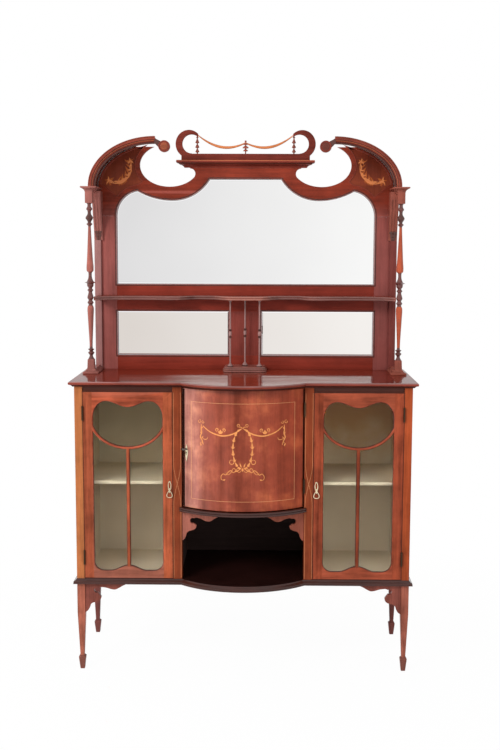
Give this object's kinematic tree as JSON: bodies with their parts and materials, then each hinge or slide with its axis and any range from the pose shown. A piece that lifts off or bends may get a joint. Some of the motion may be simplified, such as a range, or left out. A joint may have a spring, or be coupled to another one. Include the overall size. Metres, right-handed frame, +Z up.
{
  "type": "display cabinet",
  "caption": "Mirror-backed display cabinet in inlaid mahogany: glazed side cupboards, bowed locking cupboard over an open niche, shaped mirror back with shelf, turned columns and hoods.",
  "frame": {"origin": "on the floor, under the middle of the cabinet's bounding box", "axes": "+X to the cabinet's right seen from the front, +Y towards the wall behind it, +Z up"},
  "size_m": [1.22, 0.5246, 1.9443],
  "materials": {
    "mahogany": "polished",
    "dark_mahogany": "satin",
    "lined_wood": "matte",
    "brass": "polished",
    "glass": "clear",
    "mirror": "silvered"
  },
  "bodies": {
    "carcass": {"top_board": "mahogany", "base_board": "dark_mahogany", "mid_shelf": "dark_mahogany", "left_end_panel": "mahogany", "right_end_panel": "mahogany", "left_partition": "dark_mahogany", "right_partition": "dark_mahogany", "back_panel": "dark_mahogany", "top_rail": "dark_mahogany", "left_pilaster": "mahogany", "right_pilaster": "mahogany", "left_front_leg": "mahogany", "right_front_leg": "mahogany", "left_back_leg": "mahogany", "right_back_leg": "mahogany", "left_leg_bracket": "mahogany", "right_leg_bracket": "mahogany", "left_niche_bracket": "mahogany", "right_niche_bracket": "mahogany", "left_cupboard_shelf": "lined_wood", "right_cupboard_shelf": "lined_wood", "left_door_upper_hinge": "brass", "left_door_lower_hinge": "brass", "right_door_upper_hinge": "brass", "right_door_lower_hinge": "brass", "centre_door_upper_hinge": "brass", "centre_door_lower_hinge": "brass", "left_frame_stile": "mahogany", "right_frame_stile": "mahogany", "lower_frame": "mahogany", "crest_board": "mahogany", "cornice": "mahogany", "gallery": "mahogany", "large_mirror": "mirror", "left_small_mirror": "mirror", "right_small_mirror": "mirror", "mirror_backboard": "dark_mahogany", "left_column": "mahogany", "right_column": "mahogany", "left_plinth": "mahogany", "right_plinth": "mahogany", "left_hood": "mahogany", "right_hood": "mahogany", "display_shelf": "mahogany", "spindle_plinth": "mahogany", "left_spindle": "mahogany", "middle_spindle": "mahogany", "right_spindle": "mahogany"},
    "left_door": {"left_door_frame": "mahogany", "left_door_glass": "glass", "left_pull_plate": "brass"},
    "right_door": {"right_door_frame": "mahogany", "right_door_glass": "glass", "right_pull_plate": "brass"},
    "bowed_door": {"centre_door": "mahogany", "centre_escutcheon": "brass"},
    "left_pull": {"left_drop_pull": "brass"},
    "right_pull": {"right_drop_pull": "brass"},
    "key": {"centre_key": "brass"},
    "bolt": {"centre_lock_bolt": "brass"}
  },
  "joints": [
    {"name": "left_door_hinge", "type": "hinge", "parent": "carcass", "child": "left_door", "pos_m": [-0.5631, -0.14645, 0.675], "axis": [0, 0, -1], "range_deg": [0, 105]},
    {"name": "right_door_hinge", "type": "hinge", "parent": "carcass", "child": "right_door", "pos_m": [0.5631, -0.14645, 0.675], "axis": [0, 0, 1], "range_deg": [0, 105]},
    {"name": "bowed_door_hinge", "type": "hinge", "parent": "carcass", "child": "bowed_door", "pos_m": [0.2151, -0.14645, 0.815], "axis": [0, 0, 1], "range_deg": [0, 95]},
    {"name": "left_pull_swing", "type": "hinge", "parent": "left_door", "child": "left_pull", "pos_m": [-0.259, -0.14855, 0.667], "axis": [-1, 0, 0], "range_deg": [0, 70]},
    {"name": "right_pull_swing", "type": "hinge", "parent": "right_door", "child": "right_pull", "pos_m": [0.259, -0.14855, 0.667], "axis": [-1, 0, 0], "range_deg": [0, 70]},
    {"name": "key_turn", "type": "hinge", "parent": "bowed_door", "child": "key", "pos_m": [-0.198, -0.15403, 0.812], "axis": [-0.6301, -0.7765, 0], "range_deg": [0, 90]},
    {"name": "bolt_slide", "type": "slide", "parent": "bowed_door", "child": "bolt", "axis": [-1, 0, 0], "range_m": [0, 0.007]}
  ],
  "couplings": [
    {"joint": "bolt_slide", "follows": "key_turn", "m_per_rad": 0.0044563}
  ]
}
